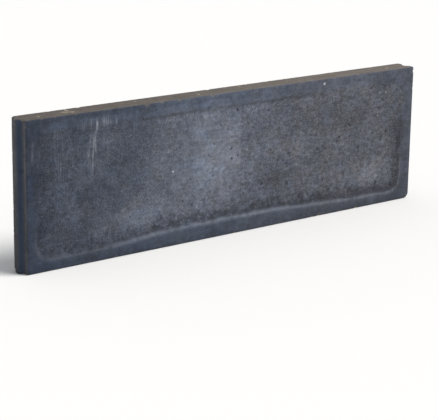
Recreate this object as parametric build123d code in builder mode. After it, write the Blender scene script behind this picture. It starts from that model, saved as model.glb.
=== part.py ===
"""A precast concrete edging slab, 1000 x 300 x 50 mm, that stands on its long edge.

The slab is pressed in two mixes. A thin pigmented face mix is laid against the mould's
front plate, and the coarser backing mix is pressed onto it. The backing carries the joint:
a half-round tongue down one end and the matching groove down the other. Coarse pebbles of
the backing mix lie open in its struck top edge.

Frame: origin on the ground, midway between the two end planes and the two faces.
+X runs along the slab from the tongue to the groove, -Y is the front face, +Z is up.
All sizes are in millimetres.
"""

import os
from math import cos, pi, radians, sin

from build123d import *

# Driving sizes of the slab.
LENGTH = 1000.0
HEIGHT = 300.0
THICKNESS = 50.0
FACE_MIX_THICKNESS = 6.0

# Corners of the slab as seen from the front, and the rounding along its long edges.
CORNER_RADIUS = 5.0
GROOVE_FOOT_RADIUS = 12.0
FRONT_ARRIS_RADIUS = 3.5
BACK_ARRIS_RADIUS = 2.5

# The joint at the ends: the groove is wider than the tongue, which leaves a gap for the joint.
TONGUE_RADIUS = 10.0
JOINT_CLEARANCE = 1.0
GROOVE_RADIUS = TONGUE_RADIUS + JOINT_CLEARANCE

# The front face's sunken field inside its plain margin.
MARGIN = 28.0
GROOVE_END_MARGIN = 38.0
FIELD_DEPTH = 1.2
FIELD_BEVEL = 7.0
FIELD_CORNER_RADIUS = 34.0

# Open pebbles in the top edge: place along X, place across Y, length, width, turn in degrees.
PEBBLES = [
    (-461.0, -9.0, 9.0, 7.0, 20.0),
    (-401.0, -3.0, 13.0, 9.0, 70.0),
    (-388.0, 9.0, 11.0, 9.0, 15.0),
    (-386.5, -9.0, 12.0, 8.0, -25.0),
    (-232.0, 4.0, 8.0, 6.0, 40.0),
    (-86.0, -8.0, 9.0, 7.0, -60.0),
    (34.0, 12.0, 8.0, 6.5, 10.0),
    (148.0, -4.0, 7.5, 6.0, 80.0),
    (287.0, 10.0, 9.0, 7.0, -15.0),
    (430.5, -8.0, 13.0, 8.5, 30.0),
]
PEBBLE_DEPTH_SHARE = 0.55
PEBBLE_FOOT_SHARE = 0.6
PEBBLE_SIDES = 8
PEBBLE_UNEVENNESS = 0.1

BACK_PLANE = Plane.XZ.offset(-THICKNESS / 2)
MIX_PLANE = Plane.XZ.offset(THICKNESS / 2 - FACE_MIX_THICKNESS)
FRONT_PLANE = Plane.XZ.offset(THICKNESS / 2)


def pebble_corners(length, width, seed):
    """Corners of one pebble's outline: an ellipse whose radius swells and shrinks a little."""
    corners = []
    for side in range(PEBBLE_SIDES):
        angle = 2 * pi * side / PEBBLE_SIDES
        swell = 1 + PEBBLE_UNEVENNESS * sin(3 * angle + seed) * cos(side * seed)
        corners.append((length / 2 * swell * cos(angle), width / 2 * swell * sin(angle)))
    return corners


def make_pebble(x, y, length, width, turn):
    """One pebble, cut off flush with the top edge and narrowing into the slab below it."""
    corners = pebble_corners(length, width, seed=radians(turn) + x)
    foot_corners = [(PEBBLE_FOOT_SHARE * u, PEBBLE_FOOT_SHARE * v) for u, v in corners]
    top = Plane(origin=(x, y, HEIGHT)).rotated((0, 0, turn))
    foot = top.offset(-PEBBLE_DEPTH_SHARE * width)
    with BuildPart() as pebble:
        with BuildSketch(top):
            Polygon(*corners, align=None)
        with BuildSketch(foot):
            Polygon(*foot_corners, align=None)
        loft(ruled=True)
    return pebble.part


os.makedirs("parts", exist_ok=True)

pebbles = [make_pebble(*place_and_size) for place_and_size in PEBBLES]

# The slab's outline as seen from the front. Its corner at the foot of the groove is the roundest.
with BuildSketch(Plane.XZ) as front_view:
    Rectangle(LENGTH, HEIGHT, align=(Align.CENTER, Align.MIN))
    groove_foot = front_view.vertices().group_by(Axis.X)[-1].sort_by(Axis.Y)[0]
    fillet(groove_foot, GROOVE_FOOT_RADIUS)
    square_corners = [v for v in front_view.vertices() if v.X < 0 or v.Y > HEIGHT / 2]
    fillet(square_corners, CORNER_RADIUS)

# Backing concrete: the body of the slab with its tongue, groove and pebble sockets.
with BuildPart() as backing_concrete:
    with BuildSketch(BACK_PLANE):
        add(front_view.sketch_local)
    extrude(amount=THICKNESS - FACE_MIX_THICKNESS)
    back_face = backing_concrete.faces().sort_by(Axis.Y)[-1]
    fillet(back_face.edges(), BACK_ARRIS_RADIUS)
    with BuildSketch(Plane.XY):
        with Locations((-LENGTH / 2, 0)):
            Circle(TONGUE_RADIUS)
    extrude(amount=HEIGHT)
    with BuildSketch(Plane.XY):
        with Locations((LENGTH / 2, 0)):
            Circle(GROOVE_RADIUS)
    extrude(amount=HEIGHT, mode=Mode.SUBTRACT)
    for pebble in pebbles:
        add(pebble, mode=Mode.SUBTRACT)
backing_concrete.part.label = "backing_concrete"
export_step(backing_concrete.part, "parts/backing_concrete.step")

# Face mix: the thin pigmented layer, rounded along its front edges, with its sunken field.
field_length = LENGTH - MARGIN - GROOVE_END_MARGIN
field_height = HEIGHT - 2 * MARGIN
field_centre = ((MARGIN - GROOVE_END_MARGIN) / 2, HEIGHT / 2)
with BuildPart() as face_mix:
    with BuildSketch(MIX_PLANE):
        add(front_view.sketch_local)
    extrude(amount=FACE_MIX_THICKNESS)
    front_face = face_mix.faces().sort_by(Axis.Y)[0]
    fillet(front_face.edges(), FRONT_ARRIS_RADIUS)
    with BuildSketch(FRONT_PLANE):
        with Locations(field_centre):
            RectangleRounded(field_length, field_height, FIELD_CORNER_RADIUS)
    with BuildSketch(FRONT_PLANE.offset(-FIELD_DEPTH)):
        with Locations(field_centre):
            RectangleRounded(
                field_length - 2 * FIELD_BEVEL,
                field_height - 2 * FIELD_BEVEL,
                FIELD_CORNER_RADIUS - FIELD_BEVEL,
            )
    loft(ruled=True, mode=Mode.SUBTRACT)
face_mix.part.label = "face_mix"
export_step(face_mix.part, "parts/face_mix.step")

# Open pebbles: the group of separate stones that fill the sockets in the top edge.
top_pebbles = Compound(label="top_pebbles", children=pebbles)
export_step(top_pebbles, "parts/top_pebbles.step")
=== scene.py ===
# %% [markdown]
# # A pressed concrete edging slab
#
# This slab edges a lawn or a path. It is pressed from two mixes of concrete: a thin anthracite
# face mix and a coarser grey backing. One end carries an upright half-round tongue and the
# other the matching groove, so that slabs lock end to end.
#
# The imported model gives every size. The visual pieces are built inside it, in metres.

import bmesh
import bpy
import numpy as np
from mathutils import Matrix, Vector, noise


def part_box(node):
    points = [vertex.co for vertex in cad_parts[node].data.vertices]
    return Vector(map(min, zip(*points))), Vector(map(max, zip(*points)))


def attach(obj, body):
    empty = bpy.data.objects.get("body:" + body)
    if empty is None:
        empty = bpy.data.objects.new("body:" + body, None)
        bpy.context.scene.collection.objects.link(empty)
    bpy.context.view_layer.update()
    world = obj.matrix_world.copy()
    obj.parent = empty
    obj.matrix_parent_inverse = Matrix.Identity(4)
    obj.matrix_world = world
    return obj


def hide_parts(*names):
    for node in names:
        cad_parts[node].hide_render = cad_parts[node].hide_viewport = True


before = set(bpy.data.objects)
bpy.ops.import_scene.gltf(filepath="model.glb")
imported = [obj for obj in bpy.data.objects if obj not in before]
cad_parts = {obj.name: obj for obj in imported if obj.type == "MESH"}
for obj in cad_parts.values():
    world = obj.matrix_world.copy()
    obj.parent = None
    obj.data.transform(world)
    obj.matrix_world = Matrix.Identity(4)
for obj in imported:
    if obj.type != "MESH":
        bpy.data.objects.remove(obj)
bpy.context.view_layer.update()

# %% Read the slab's sizes from its two mixes
MM = 0.001
face_low, face_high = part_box("face_mix")
backing_low, backing_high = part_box("backing_concrete")
LEFT, RIGHT = face_low.x, face_high.x
FRONT, BACK = face_low.y, backing_high.y
BOTTOM, TOP = face_low.z, face_high.z
MIX_LINE = face_high.y
TONGUE_RADIUS = LEFT - backing_low.x
GROOVE_RADIUS = TONGUE_RADIUS + 1 * MM
LENGTH = RIGHT - LEFT
HEIGHT = TOP - BOTTOM
print(f"slab {LENGTH:.3f} x {HEIGHT:.3f} m, tongue radius {TONGUE_RADIUS:.4f} m")

# %% [markdown]
# ## The camera
#
# A camera is easiest to place from its heading, its pitch and its roll. From those come three
# axes at right angles: what is to its right, what is above it, and what is behind it. They are
# the columns of its rotation matrix, because a Blender camera looks along its own -Z.

# %% Place the camera
CAMERA_PLACE = Vector((-2.0144, -2.5327, 0.9408))
CAMERA_YAW = np.radians(38.18)
CAMERA_PITCH = np.radians(15.49)
CAMERA_ROLL = np.radians(0.87)
CAMERA_LENS = 132.93


def camera_axes(yaw, pitch, roll):
    """The camera's right, up and backward axes. Yaw turns from +Y towards +X."""
    forward = Vector((np.sin(yaw) * np.cos(pitch), np.cos(yaw) * np.cos(pitch), -np.sin(pitch)))
    level_right = Vector((np.cos(yaw), -np.sin(yaw), 0.0))
    level_up = level_right.cross(forward)
    right = level_right * np.cos(roll) + level_up * np.sin(roll)
    up = level_up * np.cos(roll) - level_right * np.sin(roll)
    return right, up, -forward


camera_data = bpy.data.cameras.new("camera")
camera_data.lens = CAMERA_LENS
camera_data.sensor_width = 36.0
camera = bpy.data.objects.new("camera", camera_data)
bpy.context.scene.collection.objects.link(camera)
turn = Matrix(camera_axes(CAMERA_YAW, CAMERA_PITCH, CAMERA_ROLL)).transposed()
camera.matrix_world = Matrix.Translation(CAMERA_PLACE) @ turn.to_4x4()
bpy.context.scene.camera = camera
print("camera", camera.name, "lens", CAMERA_LENS)

# %% [markdown]
# ## Modelling helpers
#
# An operator works on what is selected. The frame arrives selected, and a new primitive has
# every face selected, so each step first selects one object, and then its edges by place.

# %% Selecting and applying
def select_only(piece):
    """Makes piece the one selected and active object."""
    bpy.ops.object.select_all(action="DESELECT")
    piece.select_set(True)
    bpy.context.view_layer.objects.active = piece


def apply_modifier(piece, kind, **settings):
    """Adds a modifier of that kind to piece, sets it, and applies it."""
    select_only(piece)
    modifier = piece.modifiers.new(kind.lower(), kind)
    for name, value in settings.items():
        setattr(modifier, name, value)
    bpy.ops.object.modifier_apply(modifier=modifier.name)


def bevel_edges(piece, wanted, width, segments):
    """Rounds the edges of piece for which wanted(edge) is true."""
    select_only(piece)
    bpy.ops.object.mode_set(mode="EDIT")
    bpy.ops.mesh.select_mode(type="EDGE")
    bpy.ops.mesh.select_all(action="DESELECT")
    mesh = bmesh.from_edit_mesh(piece.data)
    chosen = [edge for edge in mesh.edges if wanted(edge)]
    for edge in chosen:
        edge.select_set(True)
    bmesh.update_edit_mesh(piece.data)
    bpy.ops.mesh.bevel(offset=width, segments=segments)
    bpy.ops.object.mode_set(mode="OBJECT")
    print(piece.name, "rounded", len(chosen), "edges by", width)


# %% Starting shapes
def add_block(name, low, high):
    """A block that fills the box between two corners."""
    bpy.ops.object.select_all(action="DESELECT")
    bpy.ops.mesh.primitive_cube_add(size=1, location=(low + high) / 2, scale=high - low)
    block = bpy.context.object
    block.name = name
    bpy.ops.object.transform_apply(location=True, rotation=True, scale=True)
    return block


def add_upright_rod(name, x, radius, low, high):
    """A round rod that stands at x on the slab's middle plane."""
    bpy.ops.object.select_all(action="DESELECT")
    middle = (x, 0, (low + high) / 2)
    bpy.ops.mesh.primitive_cylinder_add(vertices=64, radius=radius, depth=high - low, location=middle)
    rod = bpy.context.object
    rod.name = name
    bpy.ops.object.transform_apply(location=True, rotation=True, scale=True)
    return rod


# %% [markdown]
# ## The cast slab
#
# The real slab is cast in one mould, so it is modelled in one piece and parted into its two
# mixes afterwards. That way both mixes share the very same seam. A block gets the mould's
# rounded corners and edges, a rod is joined on for the tongue, and another is cut out for the
# groove. A voxel remesh then turns it into one even skin that can carry pits and wear.

# %% Shape the mould's slab
CORNER_RADIUS = 5 * MM
GROOVE_FOOT_RADIUS = 12 * MM
FRONT_ARRIS_RADIUS = 3.5 * MM
BACK_ARRIS_RADIUS = 2.5 * MM
NEAR = 0.1 * MM


def runs_through(edge):
    """True for an edge that runs from the front face to the back face."""
    return abs(edge.verts[0].co.y - edge.verts[1].co.y) > (BACK - FRONT) / 2


def at_groove_foot(edge):
    """True for an edge at the slab's lower corner on the groove's side."""
    return all(v.co.x > RIGHT - NEAR and v.co.z < BOTTOM + NEAR for v in edge.verts)


def edge_of_plane(y):
    """A test for the edges that lie in the plane at y."""
    return lambda edge: all(abs(v.co.y - y) < NEAR for v in edge.verts)


SHARP_ANGLE = 1.0

slab = add_block("slab", Vector((LEFT, FRONT, BOTTOM)), Vector((RIGHT, BACK, TOP)))
bevel_edges(slab, lambda e: runs_through(e) and at_groove_foot(e), GROOVE_FOOT_RADIUS, 8)
bevel_edges(
    slab, lambda e: runs_through(e) and e.calc_face_angle(0) > SHARP_ANGLE, CORNER_RADIUS, 5
)
bevel_edges(slab, edge_of_plane(FRONT), FRONT_ARRIS_RADIUS, 4)
bevel_edges(slab, edge_of_plane(BACK), BACK_ARRIS_RADIUS, 3)

# %% Join the tongue and cut the groove
TONGUE_EDGE_RADIUS = 1.5 * MM


def on_rod_end(edge):
    """True for an edge that lies level, as a rod's two rims do."""
    return abs(edge.verts[0].co.z - edge.verts[1].co.z) < NEAR


tongue = add_upright_rod("tongue", LEFT, TONGUE_RADIUS, BOTTOM, TOP)
bevel_edges(tongue, on_rod_end, TONGUE_EDGE_RADIUS, 2)
cutter = add_upright_rod("groove_cutter", RIGHT, GROOVE_RADIUS, BOTTOM - HEIGHT, TOP + HEIGHT)
apply_modifier(slab, "BOOLEAN", operation="UNION", solver="EXACT", object=tongue)
apply_modifier(slab, "BOOLEAN", operation="DIFFERENCE", solver="EXACT", object=cutter)
bpy.data.objects.remove(tongue)
bpy.data.objects.remove(cutter)

# %% Turn it into one even skin
SKIN_PITCH = 2.15 * MM
apply_modifier(slab, "REMESH", mode="VOXEL", voxel_size=SKIN_PITCH, use_smooth_shade=True)
apply_modifier(slab, "SMOOTH", factor=0.5, iterations=2)
print("slab skin", len(slab.data.vertices), "points")

# %% [markdown]
# ## Pressing and wear
#
# Concrete is never flat. The press leaves a shallow sunken field in the front face inside a
# plain margin, air leaves pits, and handling chips the edges. Each is a depth at every point
# of the skin, and the skin is moved inwards by the sum. Moving only inwards keeps the slab
# inside its true size.

# %% Take the skin's points and normals
points = np.empty(len(slab.data.vertices) * 3)
slab.data.vertices.foreach_get("co", points)
points = points.reshape(-1, 3)
normals = np.empty(len(points) * 3)
slab.data.vertices.foreach_get("normal", normals)
normals = normals.reshape(-1, 3)
depth = np.zeros(len(points))
x, y, z = points.T


def smooth_step(low, high, values):
    """0 below low, 1 above high, and a smooth rise between them."""
    share = np.clip((values - low) / (high - low), 0, 1)
    return share * share * (3 - 2 * share)


def cloud(places, size, seed):
    """Smooth noise between about -1 and 1, with lumps of that size."""
    offset = Vector((seed, 2 * seed, 3 * seed))
    return np.array([noise.noise(Vector(place) / size + offset) for place in places])


facing_front = smooth_step(0.6, 0.95, -normals[:, 1])
facing_back = smooth_step(0.6, 0.95, normals[:, 1])
facing_up = smooth_step(0.6, 0.95, normals[:, 2])
facing_end = smooth_step(0.5, 0.9, np.abs(normals[:, 0]))
upright = smooth_step(0.9, 0.5, np.abs(normals[:, 2]))
on_tongue = smooth_step(LEFT + 1 * MM, LEFT, x) * upright
in_groove = smooth_step(GROOVE_RADIUS + 2 * MM, GROOVE_RADIUS, np.hypot(x - RIGHT, y)) * upright
end_skin = np.maximum.reduce([facing_end, on_tongue, in_groove])
WIDE_WAVE = 55 * MM
NARROW_WAVE = 14 * MM
wide_waves = cloud(points, WIDE_WAVE, 3)
narrow_waves = cloud(points, NARROW_WAVE, 5)
print("front points", int((facing_front > 0.5).sum()))

# %% The sunken field inside its margin
FIELD_DEPTH = 1.4 * MM
FIELD_BEVEL = 9 * MM
FIELD_CORNER = 34 * MM
LEFT_MARGIN = 17 * MM
RIGHT_MARGIN = 29 * MM
LOW_MARGIN = 20 * MM
HIGH_MARGIN = 26 * MM
BOW_RISE = 12 * MM
BOW_PLACE = LEFT + 0.48 * LENGTH
BOW_HALF_WIDTH = 0.25 * LENGTH
field_centre_x = (LEFT + LEFT_MARGIN + RIGHT - RIGHT_MARGIN) / 2
field_centre_z = (BOTTOM + LOW_MARGIN + TOP - HIGH_MARGIN) / 2
field_half_x = (LENGTH - LEFT_MARGIN - RIGHT_MARGIN) / 2
field_half_z = (HEIGHT - LOW_MARGIN - HIGH_MARGIN) / 2


def distance_to_field(x, z):
    """How far a point is outside the field's outline, below 0 inside it."""
    bow = BOW_RISE * np.exp(-(((x - BOW_PLACE) / BOW_HALF_WIDTH) ** 4)) * (z < field_centre_z)
    over_x = np.abs(x - field_centre_x) - field_half_x + FIELD_CORNER
    over_z = np.abs(z - field_centre_z) - field_half_z + FIELD_CORNER + bow
    outside = np.hypot(np.maximum(over_x, 0), np.maximum(over_z, 0))
    inside = np.minimum(np.maximum(over_x, over_z), 0)
    return outside + inside - FIELD_CORNER


WIDE_WANDER = 1.6 * MM
NARROW_WANDER = 0.9 * MM
field_distance = distance_to_field(x, z) + WIDE_WANDER * wide_waves + NARROW_WANDER * narrow_waves
bevel_width = FIELD_BEVEL * (1 + 1.2 * smooth_step(-0.22, -0.34, x))
field_share = smooth_step(0, bevel_width, -field_distance) * facing_front
depth += FIELD_DEPTH * field_share

# %% Waves and grain all over
WAVE_DEPTH = 0.3 * MM
GRAIN_DEPTH = 0.14 * MM
ROUGH_DEPTH = 0.5 * MM
depth += WAVE_DEPTH * (wide_waves + 1) / 2
depth += GRAIN_DEPTH * (cloud(points, 7 * MM, 2) + 1) / 2
rough = np.maximum(facing_back, 0.8 * facing_up)
depth += rough * ROUGH_DEPTH * (cloud(points, 6 * MM, 4) + 1) / 2
print("waves and grain up to", round((WAVE_DEPTH + GRAIN_DEPTH + ROUGH_DEPTH) / MM, 2), "mm deep")

# %% [markdown]
# ## Pits and chips
#
# Air that is trapped against the mould leaves round pits, and every knock takes a chip from an
# edge. Both are round hollows around a point of the skin. Cutting hundreds of balls out with
# Boolean modifiers would be slow, so the skin's points are lowered inside each ball instead.

# %% Pits left by trapped air
PIT_SLOPE = 0.4
chance = np.random.default_rng(7)


def press_pits(places, radii, depths):
    """Adds round hollows to the skin, one for each place."""
    for place, radius, sink in zip(places, radii, depths):
        away = np.linalg.norm(points - place, axis=1) / radius
        hollow = np.clip(1 - away**2, 0, 1)
        depth[:] = np.maximum(depth, depth + sink * hollow)


def scatter_pits(count, mask, smallest, largest):
    """Pits at random points of the skin where mask is true, most of them small."""
    chosen = points[chance.choice(np.flatnonzero(mask), count, replace=False)]
    radii = smallest + (largest - smallest) * chance.random(count) ** 3
    press_pits(chosen, radii, PIT_SLOPE * radii)


on_front = facing_front > 0.9
scatter_pits(260, on_front, 1.8 * MM, 3.6 * MM)
scatter_pits(320, on_front & (x > -0.15) & (field_distance < -FIELD_BEVEL), 2 * MM, 4.6 * MM)
scatter_pits(420, facing_back > 0.9, 1.8 * MM, 5 * MM)
scatter_pits(120, facing_up > 0.9, 1.8 * MM, 4 * MM)
scatter_pits(90, facing_end > 0.9, 1.8 * MM, 3.5 * MM)

# %% The largest pits of the front face
# Across and height of each.
LARGE_PITS = [(0.080, 0.113), (0.113, 0.098), (-0.170, 0.110), (0.027, 0.090), (-0.020, 0.222)]
LARGE_PIT_RADIUS = 4.5 * MM
LARGE_PIT_DEPTH = 1.6 * MM
large_places = np.array([(pit_x, FRONT + FIELD_DEPTH, pit_z) for pit_x, pit_z in LARGE_PITS])
count = len(LARGE_PITS)
press_pits(large_places, np.full(count, LARGE_PIT_RADIUS), np.full(count, LARGE_PIT_DEPTH))

# %% Chips along the edges
CHIP_COUNT = 150
CHIP_SLOPE = 0.22
FRESH_DEPTH = 0.5 * MM
on_arris = np.abs(normals).max(axis=1) < 0.86
chip_places = points[chance.choice(np.flatnonzero(on_arris), CHIP_COUNT, replace=False)]
chip_radii = 2 * MM + 5 * MM * chance.random(CHIP_COUNT) ** 3
unchipped = depth.copy()
press_pits(chip_places, chip_radii, CHIP_SLOPE * chip_radii)
chipped = np.clip((depth - unchipped) / FRESH_DEPTH, 0, 1)
print("deepest point", round(depth.max() / MM, 2), "mm")

# %% [markdown]
# ## Where the concrete is pale, stained or rubbed, and where light and shade are painted
#
# The finishes need to know where lime has bloomed, where damp has stained the foot of the
# field, where the face was rubbed, and where painted highlight and painted shade stand in
# for the light on the field's bevels, the top arris and the tongue's root. These are wide soft
# areas, so they are worked out once for each point of the skin and stored as attributes. The
# fine grain comes from the materials.

# %% Lime bloom over the face, with painted shade along its right bevel and its top arris
def patch(across, height, half_width, half_height):
    """A soft round patch of the front face, 1 in its middle and near 0 at its rim."""
    wobble = 0.25 * wide_waves + 0.15 * narrow_waves
    away = np.hypot((x - across) / half_width, (z - height) / half_height) + wobble
    return np.exp(-(away**2))


BLOOM_EDGE = 0.013
# Across, height, half width, half height and strength. A negative strength is a dark patch.
LIME_AND_SHADE_PATCHES = [
    (-0.24, 0.078, 0.08, 0.026, 0.28),
    (0.36, 0.078, 0.10, 0.026, 0.28),
    (0.31, 0.272, 0.05, 0.018, 0.25),
    (-0.09, 0.250, 0.09, 0.024, 0.16),
    (0.12, 0.165, 0.10, 0.050, 0.10),
    (0.25, 0.225, 0.07, 0.030, -0.10),
    (0.10, 0.100, 0.06, 0.022, -0.16),
    (-0.17, 0.110, 0.012, 0.010, -0.25),
    (-0.470, 0.195, 0.012, 0.014, -0.12),
    (-0.468, 0.080, 0.014, 0.020, -0.12),
    (-0.33, 0.283, 0.15, 0.010, 0.10),
    (0.43, 0.280, 0.06, 0.030, -0.12),
    # Painted shade: this dark patch lies along the field's right bevel, which faces away from the
    # light.
    (0.460, 0.120, 0.03, 0.080, -0.20),
]
first_rise = smooth_step(LEFT - 0.03, LEFT + 0.14, x)
second_rise = smooth_step(LEFT + 0.17 + 0.05 * smooth_step(0.08, 0.19, z), LEFT + 0.36, x)
towards_right = 0.50 * first_rise + 0.50 * second_rise
past_edge = smooth_step(BLOOM_EDGE - 3 * MM, BLOOM_EDGE + 3 * MM, x + 2 * MM * narrow_waves)
bloom = patch(-0.045, 0.165, 0.12, 0.09) * (1 - 0.6 * past_edge)
lime_and_shade = 0.44 * towards_right + 0.47 * bloom
for across, height, half_width, half_height, strength in LIME_AND_SHADE_PATCHES:
    lime_and_shade += strength * patch(across, height, half_width, half_height)
lime_and_shade += 0.10 * wide_waves + 0.06 * narrow_waves
on_margin = smooth_step(-2 * MM, 2 * MM, field_distance)
low_down = smooth_step(0.12, 0.04, z)
lime_and_shade *= 1 - on_margin * (0.15 + 0.42 * low_down)
lime_and_shade *= 1 - 0.35 * smooth_step(0.022, 0.004, z)
# Painted shade along the top arris of the front face, stronger towards the tongue.
lime_and_shade *= 1 - 0.5 * smooth_step(0.282, 0.296, z) * smooth_step(0.05, -0.35, x)
print("mean lime", round(float(lime_and_shade[facing_front > 0.5].mean()), 2))

# %% Damp stain inside the foot of the field
inside = -field_distance
stain_reach = 26 * MM + 12 * MM * wide_waves + 16 * MM * narrow_waves
stain_ring = np.clip(1.15 - (inside - FIELD_BEVEL) / stain_reach, 0, 1)
stain_ring *= smooth_step(3 * MM, 7 * MM, inside)
at_right = 0.55 * smooth_step(0.40, 0.455, x) * smooth_step(0.24, 0.14, z)
at_left = 0.25 * smooth_step(-0.44, -0.475, x) * smooth_step(0.22, 0.12, z)
at_foot = low_down * (0.25 + 0.60 * towards_right + 0.25 * smooth_step(0.15, 0.30, x))
stain = stain_ring * np.clip(at_foot + at_right + at_left, 0, 1)


# %% Painted highlight along the field's lower bevel, and painted shade along its upper bevel
def along_bevel(middle, half_width):
    """A soft line that follows the field's outline, that far inside it."""
    return np.exp(-(((inside - middle) / half_width) ** 2))


# Painted shade along the field's upper bevel, which faces down.
head_shade_strength = smooth_step(0.24, 0.26, z) * smooth_step(-0.30, -0.14, x)
head_shade_strength *= smooth_step(0.32, 0.15, x) * (1 + 0.6 * narrow_waves)
painted_head_shade = along_bevel(4 * MM, 4 * MM) * head_shade_strength
# Painted highlight along the field's lower bevel, which faces up.
foot_highlight_strength = low_down * (0.25 + 0.75 * smooth_step(-0.34, -0.24, x))
foot_highlight_strength *= 1 - 0.45 * smooth_step(0.12, 0.30, x) - 0.4 * smooth_step(0.43, 0.46, x)
foot_highlight_strength *= 1 + 0.7 * narrow_waves
painted_foot_highlight = along_bevel(3 * MM, 5 * MM) * foot_highlight_strength * facing_front

# %% Rubbed places with upright scratches
# Across, height, half width, half height and strength.
RUBBED_PATCHES = [
    (-0.343, 0.256, 0.009, 0.016, 0.75),
    (-0.350, 0.230, 0.008, 0.018, 0.70),
    (-0.357, 0.205, 0.009, 0.020, 0.65),
    (-0.325, 0.275, 0.040, 0.009, 0.50),
    (-0.486, 0.232, 0.005, 0.016, 0.55),
    (-0.250, 0.265, 0.003, 0.016, 0.60),
    (-0.428, 0.215, 0.010, 0.030, 0.35),
]
rubbed = 0.06 * smooth_step(-0.12, -0.30, x)
rubbed *= smooth_step(0.05, 0.20, z) * smooth_step(-0.49, -0.46, x)
for across, height, half_width, half_height, strength in RUBBED_PATCHES:
    rubbed += strength * patch(across, height, half_width, half_height)

# %% Bare sand on the top, and painted shade on the tongue's front flank at its root
SAND_PLACE = Vector((-0.396, -0.004))
SAND_HALF_LENGTH = 13 * MM
SAND_HALF_WIDTH = 8 * MM
from_sand = np.hypot((x - SAND_PLACE.x) / SAND_HALF_LENGTH, (y - SAND_PLACE.y) / SAND_HALF_WIDTH)
bare_sand = np.exp(-((from_sand + 0.3 * narrow_waves) ** 4)) * facing_up
# Painted shade: the tongue's front flank is darkened towards its root, in the corner where it meets
# the face.
tongue_flank_shade = smooth_step(LEFT + 1 * MM, LEFT - 1 * MM, x) * smooth_step(-2.5 * MM, -9 * MM, y)

# %% Move the skin in and store the masks
points -= normals * depth[:, None]
points = np.clip(points, [backing_low.x, FRONT, BOTTOM], [RIGHT, BACK, TOP])
slab.data.vertices.foreach_set("co", points.ravel())
slab.data.update()
MASKS = {
    "margin": on_margin,
    "hollow": (depth - FIELD_DEPTH * field_share) / MM,
    "lime_and_shade": np.clip(lime_and_shade, 0, 1),
    "stain": stain,
    # Painted highlight and painted shade along the field's bevels.
    "painted_foot_highlight": painted_foot_highlight,
    "painted_head_shade": painted_head_shade,
    "rubbed": np.clip(rubbed, 0, 1),
    "top_face": facing_up,
    "end_face": end_skin,
    "bare_sand": bare_sand,
    # Painted shade at the tongue's root.
    "tongue_flank_shade": tongue_flank_shade,
    "chipped": chipped,
}
for name, values in MASKS.items():
    attribute = slab.data.attributes.new(name, "FLOAT", "POINT")
    attribute.data.foreach_set("value", values.astype(np.float32))
print("stored", len(MASKS), "masks")

# %% [markdown]
# ## Part the slab into its two mixes
#
# The skin is copied, and each copy is cut along the plane where the mixes meet and closed
# there. Bisect does both at once: it cuts, clears one side and fills the cut.

# %% Cut the two mixes apart
def part_of_slab(name, keep_front):
    """A copy of the slab's skin on one side of the plane where the mixes meet."""
    select_only(slab)
    bpy.ops.object.duplicate()
    part = bpy.context.object
    part.name = name
    select_only(part)
    bpy.ops.object.mode_set(mode="EDIT")
    bpy.ops.mesh.select_all(action="SELECT")
    bpy.ops.mesh.bisect(
        plane_co=(0, MIX_LINE, 0),
        plane_no=(0, 1, 0),
        use_fill=True,
        clear_inner=not keep_front,
        clear_outer=keep_front,
    )
    bpy.ops.object.mode_set(mode="OBJECT")
    bpy.ops.object.shade_smooth_by_angle(angle=np.radians(50))
    print(name, len(part.data.polygons), "faces")
    return part


face = part_of_slab("face_mix_cast", keep_front=True)
backing = part_of_slab("backing_cast", keep_front=False)
bpy.data.objects.remove(slab)

# %% [markdown]
# ## Pebbles in the top edge
#
# The top edge is struck off with a board, which leaves some pebbles of the backing open. Each
# pebble starts from its own rough solid in the frame, so that it sits in its own socket. Its
# corners are rounded by a subdivision surface.

# %% Round each pebble
PEBBLE_EDGE_RADIUS = 0.8 * MM
WELD_DISTANCE = 0.01 * MM


def loose_copies(node):
    """Separate copies of the solids that one node of the frame holds."""
    select_only(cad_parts[node])
    bpy.ops.object.duplicate()
    copy = bpy.context.object
    for key in list(copy.keys()):
        del copy[key]
    copy.parent = None
    bpy.ops.object.mode_set(mode="EDIT")
    bpy.ops.mesh.select_all(action="SELECT")
    bpy.ops.mesh.remove_doubles(threshold=WELD_DISTANCE)
    bpy.ops.mesh.separate(type="LOOSE")
    bpy.ops.object.mode_set(mode="OBJECT")
    return list(bpy.context.selected_objects)


pebbles = sorted(loose_copies("top_pebbles"), key=lambda pebble: pebble.data.vertices[0].co.x)
for number, pebble in enumerate(pebbles, start=1):
    pebble.name = f"pebble_{number}"
    apply_modifier(pebble, "BEVEL", width=PEBBLE_EDGE_RADIUS, segments=2)
    apply_modifier(pebble, "SUBSURF", levels=2, render_levels=2)
    select_only(pebble)
    bpy.ops.object.shade_smooth()
print(len(pebbles), "pebbles")

# %% [markdown]
# ## Shader groups
#
# Both mixes and the stones share the same kinds of detail: sand grains, soft blotches, streaks
# and a fine roughness. Each could be rebuilt in every material, but a node group is built once
# and placed with its own values wherever it is wanted, so a change reaches every piece.

# %% Small tools for building node trees
def add_node(tree, kind, place, **settings):
    """A node of that kind at a place in the tree, with its settings and input values."""
    node = tree.nodes.new(kind)
    node.location = place
    for name, value in settings.items():
        if name in node.inputs:
            node.inputs[name].default_value = value
        else:
            setattr(node, name, value)
    return node


def feed(tree, socket, value):
    """Gives an input socket its value, by a link where the value is a socket itself."""
    if isinstance(value, bpy.types.NodeSocket):
        tree.links.new(value, socket)
    elif isinstance(value, tuple) and socket.type == "RGBA":
        socket.default_value = (*value, 1.0)
    else:
        socket.default_value = value


def math_node(tree, operation, first, second, place, clamp=False):
    """A Math node. Each side is a socket or a number."""
    node = add_node(tree, "ShaderNodeMath", place, operation=operation, use_clamp=clamp)
    feed(tree, node.inputs[0], first)
    feed(tree, node.inputs[1], second)
    return node.outputs[0]


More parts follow.
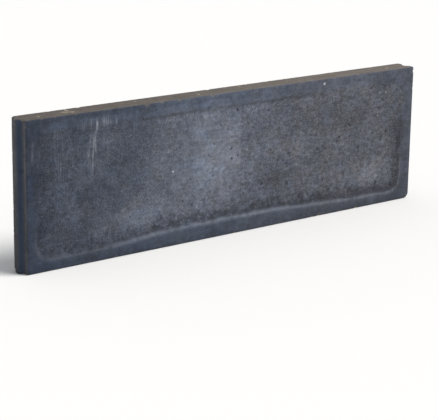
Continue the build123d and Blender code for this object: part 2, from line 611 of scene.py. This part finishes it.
def ramp(tree, value, low, high, place, to_low=0.0, to_high=1.0):
    """Maps a socket from the range low..high to another range, clamped and smooth."""
    node = add_node(tree, "ShaderNodeMapRange", place, interpolation_type="SMOOTHSTEP")
    feed(tree, node.inputs["Value"], value)
    feed(tree, node.inputs["From Min"], low)
    feed(tree, node.inputs["From Max"], high)
    feed(tree, node.inputs["To Min"], to_low)
    feed(tree, node.inputs["To Max"], to_high)
    return node.outputs["Result"]


def blend_colour(tree, mask, under, over, place, mode="MIX"):
    """Lays the colour over on the colour under, where the mask says."""
    node = add_node(tree, "ShaderNodeMix", place, data_type="RGBA", blend_type=mode)
    for name, value in (("Factor", mask), ("A", under), ("B", over)):
        feed(tree, next(s for s in node.inputs if s.name == name and s.enabled), value)
    return next(s for s in node.outputs if s.enabled)


# %% Making and placing a group
def new_group(name, inputs, outputs):
    """An empty shader group with named sockets, and its entry and exit sockets."""
    group = bpy.data.node_groups.new(name, "ShaderNodeTree")
    for label, kind, value in inputs:
        socket = group.interface.new_socket(label, in_out="INPUT", socket_type=kind)
        if value is not None:
            socket.default_value = value
    for label, kind in outputs:
        group.interface.new_socket(label, in_out="OUTPUT", socket_type=kind)
    entry = add_node(group, "NodeGroupInput", (-900, 0))
    leave = add_node(group, "NodeGroupOutput", (900, 0))
    return group, entry.outputs, leave.inputs


def place_group(tree, group, place, **values):
    """Places a group in a tree. An underscore in a value's name stands for a space."""
    node = add_node(tree, "ShaderNodeGroup", place, node_tree=group)
    for name, value in values.items():
        feed(tree, node.inputs[name.replace("_", " ")], value)
    return node.outputs


# %% Speckle: sand grains of one size
GRAIN_REACH = 0.42


def make_speckle_group():
    """Grains of one size: a mask that is 1 on a share of the grains and 0 between them."""
    group, given, result = new_group(
        "speckle",
        [
            ("Vector", "NodeSocketVector", None),
            ("Grains per metre", "NodeSocketFloat", 400.0),
            ("Share", "NodeSocketFloat", 0.2),
            ("Softness", "NodeSocketFloat", 0.1),
        ],
        [("Mask", "NodeSocketFloat"), ("Tone", "NodeSocketFloat")],
    )
    cells = add_node(group, "ShaderNodeTexVoronoi", (-600, 100), feature="F1")
    feed(group, cells.inputs["Vector"], given["Vector"])
    feed(group, cells.inputs["Scale"], given["Grains per metre"])
    tone = add_node(group, "ShaderNodeSeparateColor", (-400, -100))
    feed(group, tone.inputs[0], cells.outputs["Color"])
    picked = math_node(group, "LESS_THAN", tone.outputs[0], given["Share"], (-200, 0))
    edge = math_node(group, "SUBTRACT", GRAIN_REACH, cells.outputs["Distance"], (-400, 200))
    soft = math_node(group, "DIVIDE", edge, given["Softness"], (-200, 200), clamp=True)
    feed(group, result["Mask"], math_node(group, "MULTIPLY", picked, soft, (100, 100)))
    feed(group, result["Tone"], tone.outputs[1])
    return group


speckle_group = make_speckle_group()


def speckle(tree, vector, grains, share, softness, place):
    """Places the speckle group and returns its mask and tone."""
    values = {"Vector": vector, "Grains_per_metre": grains, "Share": share, "Softness": softness}
    placed = place_group(tree, speckle_group, place, **values)
    return placed["Mask"], placed["Tone"]


# %% Blotches: soft patches of one size
def make_blotch_group():
    """Soft patches of one size, from 0 to 1."""
    group, given, result = new_group(
        "blotches",
        [
            ("Vector", "NodeSocketVector", None),
            ("Patches per metre", "NodeSocketFloat", 10.0),
            ("Detail", "NodeSocketFloat", 4.0),
            ("Spread", "NodeSocketFloat", 0.15),
        ],
        [("Mask", "NodeSocketFloat")],
    )
    field = add_node(group, "ShaderNodeTexNoise", (-600, 0), Roughness=0.6)
    feed(group, field.inputs["Vector"], given["Vector"])
    feed(group, field.inputs["Scale"], given["Patches per metre"])
    feed(group, field.inputs["Detail"], given["Detail"])
    centred = math_node(group, "SUBTRACT", field.outputs[0], 0.5, (-300, 0))
    spread = math_node(group, "DIVIDE", centred, given["Spread"], (-100, 0))
    feed(group, result["Mask"], math_node(group, "ADD", spread, 0.5, (100, 0), clamp=True))
    return group


blotch_group = make_blotch_group()


def blotches(tree, vector, patches, place, detail, spread):
    """Places the blotch group and returns its mask."""
    values = {"Vector": vector, "Patches_per_metre": patches, "Detail": detail, "Spread": spread}
    return place_group(tree, blotch_group, place, **values)["Mask"]


# %% Drawn noise: streaks along one axis
def make_drawn_noise_group():
    """Noise with its own scale along each axis, so that it can form streaks."""
    group, given, result = new_group(
        "drawn_noise",
        [
            ("Vector", "NodeSocketVector", None),
            ("Scales", "NodeSocketVector", (1.0, 1.0, 1.0)),
            ("Turn", "NodeSocketVector", (0.0, 0.0, 0.0)),
            ("Detail", "NodeSocketFloat", 3.0),
        ],
        [("Value", "NodeSocketFloat")],
    )
    mapping = add_node(group, "ShaderNodeMapping", (-600, 0))
    feed(group, mapping.inputs["Vector"], given["Vector"])
    feed(group, mapping.inputs["Scale"], given["Scales"])
    feed(group, mapping.inputs["Rotation"], given["Turn"])
    field = add_node(group, "ShaderNodeTexNoise", (-300, 0), Scale=1.0)
    feed(group, field.inputs["Vector"], mapping.outputs[0])
    feed(group, field.inputs["Detail"], given["Detail"])
    feed(group, result["Value"], field.outputs[0])
    return group


drawn_noise_group = make_drawn_noise_group()


def drawn_noise(tree, vector, scales, place, detail, turn=(0.0, 0.0, 0.0)):
    """Places the drawn noise group and returns its value."""
    values = {"Vector": vector, "Scales": scales, "Turn": turn, "Detail": detail}
    return place_group(tree, drawn_noise_group, place, **values)["Value"]


# %% Fine grain: the roughness that a fingertip feels
def make_fine_grain_group():
    """A height for grains too fine for the mesh."""
    group, given, result = new_group(
        "fine_grain",
        [
            ("Vector", "NodeSocketVector", None),
            ("Grains per metre", "NodeSocketFloat", 600.0),
        ],
        [("Height", "NodeSocketFloat")],
    )
    field = add_node(group, "ShaderNodeTexNoise", (-300, 0), Detail=5.0, Roughness=0.7)
    feed(group, field.inputs["Vector"], given["Vector"])
    feed(group, field.inputs["Scale"], given["Grains per metre"])
    feed(group, result["Height"], field.outputs[0])
    return group


fine_grain_group = make_fine_grain_group()
print(len(bpy.data.node_groups), "shader groups")


# %% Starting a material, reading its masks and giving it relief
def new_material(name, roughness):
    """A material with a Principled shader, and the Object coordinates to pattern it with."""
    material = bpy.data.materials.new(name)
    material.use_nodes = True
    tree = material.node_tree
    tree.nodes.clear()
    shader = add_node(tree, "ShaderNodeBsdfPrincipled", (900, 0), Roughness=roughness)
    shader.inputs["Specular IOR Level"].default_value = 0.25
    output = add_node(tree, "ShaderNodeOutputMaterial", (1200, 0))
    feed(tree, output.inputs[0], shader.outputs[0])
    coordinates = add_node(tree, "ShaderNodeTexCoord", (-1400, 0)).outputs["Object"]
    return material, tree, shader, coordinates


def mask_of(tree, name, place):
    """The value that the skin stored under that name."""
    return add_node(tree, "ShaderNodeAttribute", place, attribute_name=name).outputs["Fac"]


def share_of(tree, mask, share, place):
    """A mask at only a share of its strength."""
    return math_node(tree, "MULTIPLY", mask, share, place)


def add_bump(tree, shader, height, distance, place):
    """Feeds a height socket through a Bump node into the shader's normal."""
    bump = add_node(tree, "ShaderNodeBump", place, Strength=1.0, Distance=distance)
    feed(tree, bump.inputs["Height"], height)
    feed(tree, shader.inputs["Normal"], bump.outputs[0])


def add_fine_bump(tree, shader, vector, grains, distance):
    """Gives a material the fine grain as relief."""
    placed = place_group(tree, fine_grain_group, (300, -800), Vector=vector, Grains_per_metre=grains)
    add_bump(tree, shader, placed["Height"], distance, (600, -800))


# %% [markdown]
# ## Weathered tops and ends
#
# The top edge and the ends of both mixes have the same dusty brown-grey skin, because the mould
# box and the levelling board rub the two mixes into each other there. It is one group that
# takes a mix's own colour and lays the skin, the chips and the bare sand over it. It is placed
# in both mixes, so that the dust runs across their seam without a step.

# %% The dusty skin group
CHIP_COLOUR = (0.155, 0.138, 0.115)
CHIP_SHARE = 0.45
BARE_SAND_COLOUR = (0.30, 0.27, 0.20)
BARE_SAND_SHARE = 0.6
DUST_GRAIN_SHARE = 0.4


def struck_top(group, vector, clods):
    """The top edge's colour: drag lines of the levelling board, paler towards the groove."""
    drag = drawn_noise(group, vector, (18.0, 420.0, 200.0), (-900, 300), detail=4.0)
    drag = ramp(group, drag, 0.35, 0.65, (-700, 300))
    top = blend_colour(group, drag, (0.098, 0.084, 0.076), (0.162, 0.141, 0.127), (-500, 300))
    clod_mask = share_of(group, clods, 0.4, (-500, 100))
    top = blend_colour(group, clod_mask, top, (0.085, 0.077, 0.068), (-300, 300))
    parts = add_node(group, "ShaderNodeSeparateXYZ", (-900, 500))
    feed(group, parts.inputs[0], vector)
    along = ramp(group, parts.outputs["X"], LEFT, RIGHT, (-700, 500), 0.96, 1.34)
    return blend_colour(group, 1.0, top, along, (-100, 300), mode="MULTIPLY")


def cast_end(group, vector, clods):
    """The ends' colour, darker towards the foot."""
    end = blend_colour(group, clods, (0.066, 0.066, 0.075), (0.100, 0.099, 0.104), (-500, -50))
    parts = add_node(group, "ShaderNodeSeparateXYZ", (-900, -100))
    feed(group, parts.inputs[0], vector)
    upwards = ramp(group, parts.outputs["Z"], BOTTOM, TOP, (-700, -100), 0.72, 1.12)
    return blend_colour(group, 1.0, end, upwards, (-300, -50), mode="MULTIPLY")


def make_dusty_skin_group():
    """Lays the struck top, the ends, the chips and the bare sand over a mix's own colour."""
    group, given, result = new_group(
        "dusty_skin",
        [
            ("Vector", "NodeSocketVector", None),
            ("Colour", "NodeSocketColor", None),
            ("Chipped", "NodeSocketFloat", 0.0),
            ("Top face", "NodeSocketFloat", 0.0),
            ("End face", "NodeSocketFloat", 0.0),
            ("Bare sand", "NodeSocketFloat", 0.0),
        ],
        [("Colour", "NodeSocketColor")],
    )
    vector = given["Vector"]
    clods = blotches(group, vector, 70.0, (-900, 0), detail=5.0, spread=0.3)
    grains, tone = speckle(group, vector, 380.0, 0.35, 0.25, (-900, -300))
    grain_colour = blend_colour(
        group, tone, (0.05, 0.047, 0.045), (0.27, 0.24, 0.19), (-500, -300)
    )
    grain_mask = share_of(group, grains, DUST_GRAIN_SHARE, (-500, -450))
    top = struck_top(group, vector, clods)
    top = blend_colour(group, grain_mask, top, grain_colour, (100, 300))
    end = cast_end(group, vector, clods)
    end = blend_colour(group, grain_mask, end, grain_colour, (100, -50))
    chip_mask = share_of(group, given["Chipped"], CHIP_SHARE, (-100, -600))
    colour = blend_colour(group, chip_mask, given["Colour"], CHIP_COLOUR, (100, -600))
    colour = blend_colour(group, given["End face"], colour, end, (300, 0))
    colour = blend_colour(group, given["Top face"], colour, top, (500, 0))
    sand_mask = share_of(group, given["Bare sand"], BARE_SAND_SHARE, (500, -300))
    colour = blend_colour(group, sand_mask, colour, BARE_SAND_COLOUR, (700, 0))
    feed(group, result["Colour"], colour)
    return group


dusty_skin_group = make_dusty_skin_group()


def lay_dust(tree, vector, colour, place):
    """Places the dusty skin over a mix's own colour, with the skin's own masks."""
    masks = {
        "Chipped": "chipped",
        "Top_face": "top_face",
        "End_face": "end_face",
        "Bare_sand": "bare_sand",
    }
    column, row = place
    values = {
        label: mask_of(tree, name, (column - 300, row - 200 * number))
        for number, (label, name) in enumerate(masks.items(), start=1)
    }
    return place_group(tree, dusty_skin_group, place, Vector=vector, Colour=colour, **values)["Colour"]


# %% [markdown]
# ## The anthracite face mix
#
# The real face is blue-black where it is dense, and paler where lime has bloomed in the middle.
# Its left third is rubbed in upright streaks, its right half is mottled, and the pressed margin
# is smoother and bluer than the field. One noise over everything would look like paint, so each
# of these is a thin layer of its own, laid over the last as the weather laid it.

# %% Dense mix and lime bloom
COOL_MIX = (0.027, 0.035, 0.053)
COOL_LIME = (0.180, 0.201, 0.250)
WARM_MIX = (0.034, 0.038, 0.049)
WARM_LIME = (0.192, 0.201, 0.236)


def bloomed_mix(tree, along, lime_and_shade):
    """The mix's colour under its lime, cooler towards the tongue and warmer past the middle."""
    cool = blend_colour(tree, lime_and_shade, COOL_MIX, COOL_LIME, (-900, 400))
    warm = blend_colour(tree, lime_and_shade, WARM_MIX, WARM_LIME, (-900, 250))
    warmth = ramp(tree, along, -0.15, 0.30, (-900, 600))
    return blend_colour(tree, warmth, cool, warm, (-700, 400))


# %% Mottle
MOTTLE_COLOUR = (0.052, 0.052, 0.060)
COOL_TINT = (0.945, 0.995, 1.07)
WARM_TINT = (1.05, 1.0, 0.93)
MARGIN_TINT = (0.88, 0.94, 1.02)
# Patches per metre, and how dark and how pale they make the mix.
EVEN_MOTTLES = [(22.0, 0.84, 1.16), (95.0, 0.82, 1.18)]
FINE_MOTTLE = (330.0, 0.64, 1.44)


def calm_mask(tree, lime_and_shade, margin):
    """1 where the mottle is at full strength, and less in thick lime and on the margin."""
    thick_lime = ramp(tree, lime_and_shade, 0.45, 0.95, (-1000, -400))
    calm = math_node(tree, "MAXIMUM", thick_lime, margin, (-800, -400))
    return math_node(tree, "SUBTRACT", 1.0, share_of(tree, calm, 0.6, (-700, -400)), (-600, -400))


def lay_dark_mottle(tree, place, colour, along, calm):
    """Dark patches, stronger towards the groove."""
    patches = drawn_noise(
        tree, place, (88.0, 80.0, 138.0), (-1200, 0), detail=7.0, turn=(0.0, 0.12, 0.0)
    )
    strength = ramp(tree, along, -0.40, 0.10, (-800, 150), 0.22, 0.54)
    patches = ramp(tree, patches, 0.38, 0.66, (-800, 0))
    patches = math_node(tree, "MULTIPLY", patches, strength, (-600, 100))
    patches = math_node(tree, "MULTIPLY", patches, calm, (-500, 100))
    return blend_colour(tree, patches, colour, MOTTLE_COLOUR, (-400, 400))


def lay_even_mottle(tree, place, colour, calm):
    """Patches of several sizes that darken and brighten the mix by a few percent."""
    mottles = [(*mottle, 1.0) for mottle in EVEN_MOTTLES] + [(*FINE_MOTTLE, calm)]
    for patches, low, high, strength in mottles:
        row = -500 - patches
        mottle = blotches(tree, place, patches, (-1200, row), detail=7.0, spread=0.42)
        mottle = ramp(tree, mottle, 0.0, 1.0, (-800, row), low, high)
        colour = blend_colour(tree, strength, colour, mottle, (-200, 400 - patches), mode="MULTIPLY")
    return colour


def lay_tints(tree, place, colour, margin):
    """Cool and warm patches, a slant brushing, and the bluer margin."""
    tint = blotches(tree, place, 34.0, (-1200, -350), detail=6.0, spread=0.4)
    tint = blend_colour(tree, tint, COOL_TINT, WARM_TINT, (-700, -350))
    colour = blend_colour(tree, 1.0, colour, tint, (-150, 400), mode="MULTIPLY")
    brushed = drawn_noise(
        tree, place, (32.0, 60.0, 220.0), (-1200, -300), detail=5.0, turn=(0.0, -0.75, 0.0)
    )
    brushed = ramp(tree, brushed, 0.35, 0.65, (-800, -300), 0.92, 1.08)
    colour = blend_colour(tree, 1.0, colour, brushed, (-100, 400), mode="MULTIPLY")
    return blend_colour(tree, margin, colour, MARGIN_TINT, (-50, 500), mode="MULTIPLY")


# %% Rubbed streaks
STREAK_COLOUR = (0.30, 0.325, 0.37)


def lay_streaks(tree, place, colour):
    """Pale upright scratches, broken along their length, where the face was rubbed."""
    upright = drawn_noise(
        tree, place, (420.0, 60.0, 26.0), (-1200, -800), detail=6.0, turn=(0.0, 0.08, 0.0)
    )
    upright = ramp(tree, upright, 0.42, 0.72, (-800, -800))
    broken = blotches(tree, place, 45.0, (-1200, -900), detail=4.0, spread=0.2)
    broken = ramp(tree, broken, 0.0, 1.0, (-800, -900), 0.35, 1.25)
    upright = math_node(tree, "MULTIPLY", upright, broken, (-700, -850))
    rubbed = mask_of(tree, "rubbed", (-1000, -950))
    streaks = math_node(tree, "MULTIPLY", upright, rubbed, (-600, -800))
    return blend_colour(tree, streaks, colour, STREAK_COLOUR, (0, 400))


# %% Damp stain, and painted highlight and painted shade on the relief
STAIN_TINT = (0.44, 0.44, 0.47)
# The stored mask, its colour and its share.
PAINTED_BEVEL_LIGHT = [
    ("painted_foot_highlight", (0.185, 0.212, 0.265), 0.45),
    ("painted_head_shade", (0.03, 0.032, 0.04), 0.32),
]
# Painted shade in the pin holes.
HOLE_SHADE_COLOUR = (0.025, 0.025, 0.030)


def stain_mask(tree, place):
    """The stored stain with a ragged edge."""
    ragged = blotches(tree, place, 75.0, (-1200, -1050), detail=7.0, spread=0.45)
    ragged = ramp(tree, ragged, 0.0, 1.0, (-1000, -1000), -0.42, 0.42)
    stain = math_node(tree, "ADD", mask_of(tree, "stain", (-1000, -1100)), ragged, (-800, -1100))
    return ramp(tree, stain, 0.12, 0.95, (-600, -1100))


def lay_painted_relief_light(tree, colour):
    """Painted highlight along the field's lower bevel, painted shade along its upper bevel, and
    painted shade in the pin holes.
    """
    for number, (name, line_colour, share) in enumerate(PAINTED_BEVEL_LIGHT):
        row = -1200 - 100 * number
        line = share_of(tree, mask_of(tree, name, (-1000, row)), share, (-800, row))
        colour = blend_colour(tree, line, colour, line_colour, (250 + 50 * number, 400))
    hollow = mask_of(tree, "hollow", (-1000, -1400))
    # Painted shade: the deeper a point of the skin lies, the darker it is painted.
    hole_shade = ramp(tree, hollow, 0.75, 1.9, (-600, -1400), 0.0, 0.7)
    return blend_colour(tree, hole_shade, colour, HOLE_SHADE_COLOUR, (350, 400))


# %% Sand grains of the face
# Across, height and paleness of the few pale grains that stand out by themselves.
PALE_GRAINS = [
    (-0.159, 0.154, 0.85),
    (0.236, 0.289, 0.9),
    (0.398, 0.252, 0.3),
    (0.418, 0.250, 0.35),
]
PALE_GRAIN_COLOUR = (0.52, 0.52, 0.54)
PALE_GRAIN_RADIUS = 2 * MM
PALE_GRAIN_RIM = 3.2 * MM


def lay_pale_grains(tree, place, colour):
    """Single pale grains at their own places."""
    for number, (across, height, paleness) in enumerate(PALE_GRAINS):
        row = -1700 - 150 * number
        away = add_node(tree, "ShaderNodeVectorMath", (-1000, row), operation="DISTANCE")
        away.inputs[1].default_value = (across, FRONT, height)
        feed(tree, away.inputs[0], place)
        distance = away.outputs["Value"]
        grain = ramp(tree, distance, PALE_GRAIN_RADIUS, PALE_GRAIN_RIM, (-700, row), paleness, 0.0)
        colour = blend_colour(tree, grain, colour, PALE_GRAIN_COLOUR, (420, 400))
    return colour


def lay_sand(tree, place, colour):
    """Many fine grains from dark to pale, and fewer coarse ones that are either."""
    grains, tone = speckle(tree, place, 480.0, 0.22, 0.25, (-1200, -1500))
    grain_colour = blend_colour(
        tree, tone, (0.025, 0.026, 0.03), (0.26, 0.28, 0.31), (-800, -1500)
    )
    grains = share_of(tree, grains, 0.35, (-600, -1500))
    colour = blend_colour(tree, grains, colour, grain_colour, (500, 400))
    specks, tone = speckle(tree, place, 230.0, 0.09, 0.3, (-1200, -1650))
    tone = ramp(tree, tone, 0.6, 0.7, (-800, -1700))
    speck_colour = blend_colour(tree, tone, (0.02, 0.02, 0.025), (0.23, 0.25, 0.29), (-600, -1650))
    specks = share_of(tree, specks, 0.55, (-600, -1800))
    return blend_colour(tree, specks, colour, speck_colour, (550, 400))


# %% Face mix material
def make_face_material():
    """Mottled anthracite concrete with a lime bloom, streaks, sand grains and pin holes, and painted
    highlight and painted shade on its relief.
    """
    material, tree, shader, place = new_material("anthracite_face_mix", 0.85)
    parts = add_node(tree, "ShaderNodeSeparateXYZ", (-1200, -300))
    feed(tree, parts.inputs[0], place)
    along = parts.outputs["X"]
    lime_and_shade = mask_of(tree, "lime_and_shade", (-1200, 300))
    margin = mask_of(tree, "margin", (-1200, -400))

    colour = bloomed_mix(tree, along, lime_and_shade)
    calm = calm_mask(tree, lime_and_shade, margin)
    colour = lay_dark_mottle(tree, place, colour, along, calm)
    colour = lay_even_mottle(tree, place, colour, calm)
    colour = lay_tints(tree, place, colour, margin)
    colour = lay_streaks(tree, place, colour)
    stain = stain_mask(tree, place)
    colour = blend_colour(tree, stain, colour, STAIN_TINT, (200, 400), mode="MULTIPLY")
    # Painted highlight and painted shade on the field's bevels, and painted shade in the pits.
    colour = lay_painted_relief_light(tree, colour)
    colour = lay_pale_grains(tree, place, colour)
    colour = lay_sand(tree, place, colour)
    colour = lay_dust(tree, place, colour, (600, 200))
    feed(tree, shader.inputs["Base Color"], colour)

    smooth = math_node(tree, "ADD", margin, stain, (450, -500), clamp=True)
    roughness = ramp(tree, smooth, 0.0, 1.0, (600, -500), 0.90, 0.68)
    feed(tree, shader.inputs["Roughness"], roughness)
    add_fine_bump(tree, shader, place, 700.0, 0.5 * MM)
    print(material.name, len(tree.nodes), "nodes")
    return material


face_material = make_face_material()

# %% [markdown]
# ## The warm backing mix
#
# The backing is the cheaper, coarser mix behind the face. It has no pigment, so the cement's
# warm grey and sand of several colours show. It is built as the face is, in thin layers, but
# with coarser grains. Painted shade makes the tongue's front flank blue-black at its root, in the
# corner where it meets the face, and painted shade darkens its holes.

# %% Backing material
PALE_CEMENT = (0.225, 0.213, 0.194)
DARK_CEMENT = (0.150, 0.142, 0.130)
BACKING_HOLE_SHADE_COLOUR = (0.05, 0.046, 0.04)
TONGUE_FLANK_SHADE_COLOUR = (0.034, 0.050, 0.084)


def make_backing_material():
    """Warm grey concrete with sand of several colours, small open holes with painted shade in them,
    and painted shade on the tongue's flank at its root.
    """
    material, tree, shader, place = new_material("warm_backing_mix", 0.9)
    cloudy = blotches(tree, place, 16.0, (-900, 200), detail=5.0, spread=0.3)
    colour = blend_colour(tree, cloudy, DARK_CEMENT, PALE_CEMENT, (-500, 200))
    mottle = blotches(tree, place, 120.0, (-900, 500), detail=7.0, spread=0.4)
    mottle = ramp(tree, mottle, 0.0, 1.0, (-700, 500), 0.70, 1.34)
    colour = blend_colour(tree, 1.0, colour, mottle, (-400, 400), mode="MULTIPLY")
    pressed = drawn_noise(tree, place, (16.0, 30.0, 48.0), (-1000, 700), detail=7.0)
    pressed = ramp(tree, pressed, 0.35, 0.65, (-600, 700), 0.90, 1.10)
    colour = blend_colour(tree, 1.0, colour, pressed, (-300, 500), mode="MULTIPLY")

    grains, tone = speckle(tree, place, 300.0, 0.35, 0.2, (-900, -200))
    grain_colour = blend_colour(tree, tone, (0.07, 0.065, 0.06), (0.36, 0.32, 0.25), (-500, -200))
    grains = share_of(tree, grains, 0.6, (-500, 0))
    colour = blend_colour(tree, grains, colour, grain_colour, (-100, 200))
    hollow = mask_of(tree, "hollow", (-900, -500))
    # Painted shade: the deeper a point of the skin lies, the darker it is painted.
    hole_shade = ramp(tree, hollow, 0.9, 2.2, (-500, -500), 0.0, 0.6)
    colour = blend_colour(tree, hole_shade, colour, BACKING_HOLE_SHADE_COLOUR, (100, 200))

    colour = lay_dust(tree, place, colour, (300, 0))
    # Painted shade on the tongue's front flank, in the corner where it meets the face.
    flank_shade = share_of(tree, mask_of(tree, "tongue_flank_shade", (300, -500)), 0.9, (500, -500))
    colour = blend_colour(tree, flank_shade, colour, TONGUE_FLANK_SHADE_COLOUR, (700, 200))
    feed(tree, shader.inputs["Base Color"], colour)
    add_fine_bump(tree, shader, place, 500.0, 0.7 * MM)
    print(material.name, len(tree.nodes), "nodes")
    return material


backing_material = make_backing_material()

# %% [markdown]
# ## The pebbles' stone
#
# The stones in the top edge are worn river gravel of a sandy colour. Ten materials could make
# them differ, but one is enough: its blotches are wider than a stone, so each stone cuts out
# another part of them and gets its own tone.

# %% Pebble material
DARK_STONE = (0.22, 0.19, 0.145)
PALE_STONE = (0.30, 0.27, 0.215)
STONE_GRAIN = (0.22, 0.2, 0.17)


def make_pebble_material():
    """Worn sandy stone with fine grains."""
    material, tree, shader, place = new_material("sandy_pebble", 0.7)
    kind = blotches(tree, place, 30.0, (-900, 200), detail=1.0, spread=0.25)
    colour = blend_colour(tree, kind, DARK_STONE, PALE_STONE, (-500, 200))
    grains, _ = speckle(tree, place, 900.0, 0.4, 0.4, (-900, -200))
    grain_mask = share_of(tree, grains, 0.3, (-500, 0))
    colour = blend_colour(tree, grain_mask, colour, STONE_GRAIN, (-100, 200))
    feed(tree, shader.inputs["Base Color"], colour)
    add_bump(tree, shader, grains, 0.1 * MM, (600, -300))
    print(material.name, len(tree.nodes), "nodes")
    return material


pebble_material = make_pebble_material()

# %% [markdown]
# ## Finishes and bodies
#
# Every visible piece gets one material and rides on a body, and the node of the frame that it
# stands for is hidden. Nothing moves on a slab, so all ride on the root.

# %% Give every piece its finish and its body
def finish_piece(piece, material, node):
    """Gives piece its material, and lets it stand for one node of the frame."""
    piece.data.materials.clear()
    piece.data.materials.append(material)
    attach(piece, "root")
    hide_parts(node)


finish_piece(face, face_material, "face_mix")
finish_piece(backing, backing_material, "backing_concrete")
for pebble in pebbles:
    finish_piece(pebble, pebble_material, "top_pebbles")
print("finished", 2 + len(pebbles), "pieces")

# %% [markdown]
# ## Floor and light
#
# A plain pale floor and a bright even room show the concrete without colouring it. The room
# alone would leave the relief flat, so one large soft lamp from above and to the right gives
# the field's bevels a light and a dark side.

# %% Floor
FLOOR_SIZE = 12.0
FLOOR_COLOUR = (0.9, 0.9, 0.9, 1.0)

bpy.ops.object.select_all(action="DESELECT")
bpy.ops.mesh.primitive_plane_add(size=FLOOR_SIZE, location=(0, 0, BOTTOM))
floor = bpy.context.object
floor.name = "floor"
floor_material, floor_tree, floor_shader, _ = new_material("pale_floor", 0.9)
floor_shader.inputs["Base Color"].default_value = FLOOR_COLOUR
floor.data.materials.append(floor_material)
print("floor", FLOOR_SIZE, "m wide")

# %% Room and lamp
ROOM_STRENGTH = 0.45
BACKDROP_STRENGTH = 1.0
ROOM_COLOUR = (0.93, 0.96, 1.0, 1.0)
LAMP_COLOUR = (1.0, 0.97, 0.93)
LAMP_DIRECTION = (1.7, -1.6, 3.4)
LAMP_SOFTNESS = np.radians(30)
LAMP_STRENGTH = 2.7

world = bpy.data.worlds.new("room")
bpy.context.scene.world = world
world.use_nodes = True
room_tree = world.node_tree
room_light = room_tree.nodes["Background"]
room_light.inputs["Color"].default_value = ROOM_COLOUR
seen_directly = add_node(room_tree, "ShaderNodeLightPath", (-600, 0)).outputs["Is Camera Ray"]
room_strength = ramp(room_tree, seen_directly, 0.0, 1.0, (-300, 0), ROOM_STRENGTH, BACKDROP_STRENGTH)
feed(room_tree, room_light.inputs["Strength"], room_strength)
bpy.context.scene.view_settings.view_transform = "Standard"


def add_soft_sun(name, towards, softness, strength, colour):
    """An even lamp that shines from one direction, with soft shadows."""
    data = bpy.data.lights.new(name, "SUN")
    data.energy = strength
    data.angle = softness
    data.color = colour
    lamp = bpy.data.objects.new(name, data)
    lamp.location = towards
    lamp.rotation_euler = Vector(towards).to_track_quat("Z", "Y").to_euler()
    bpy.context.scene.collection.objects.link(lamp)
    print(name, "strength", strength)


add_soft_sun("high_soft_lamp", LAMP_DIRECTION, LAMP_SOFTNESS, LAMP_STRENGTH, LAMP_COLOUR)
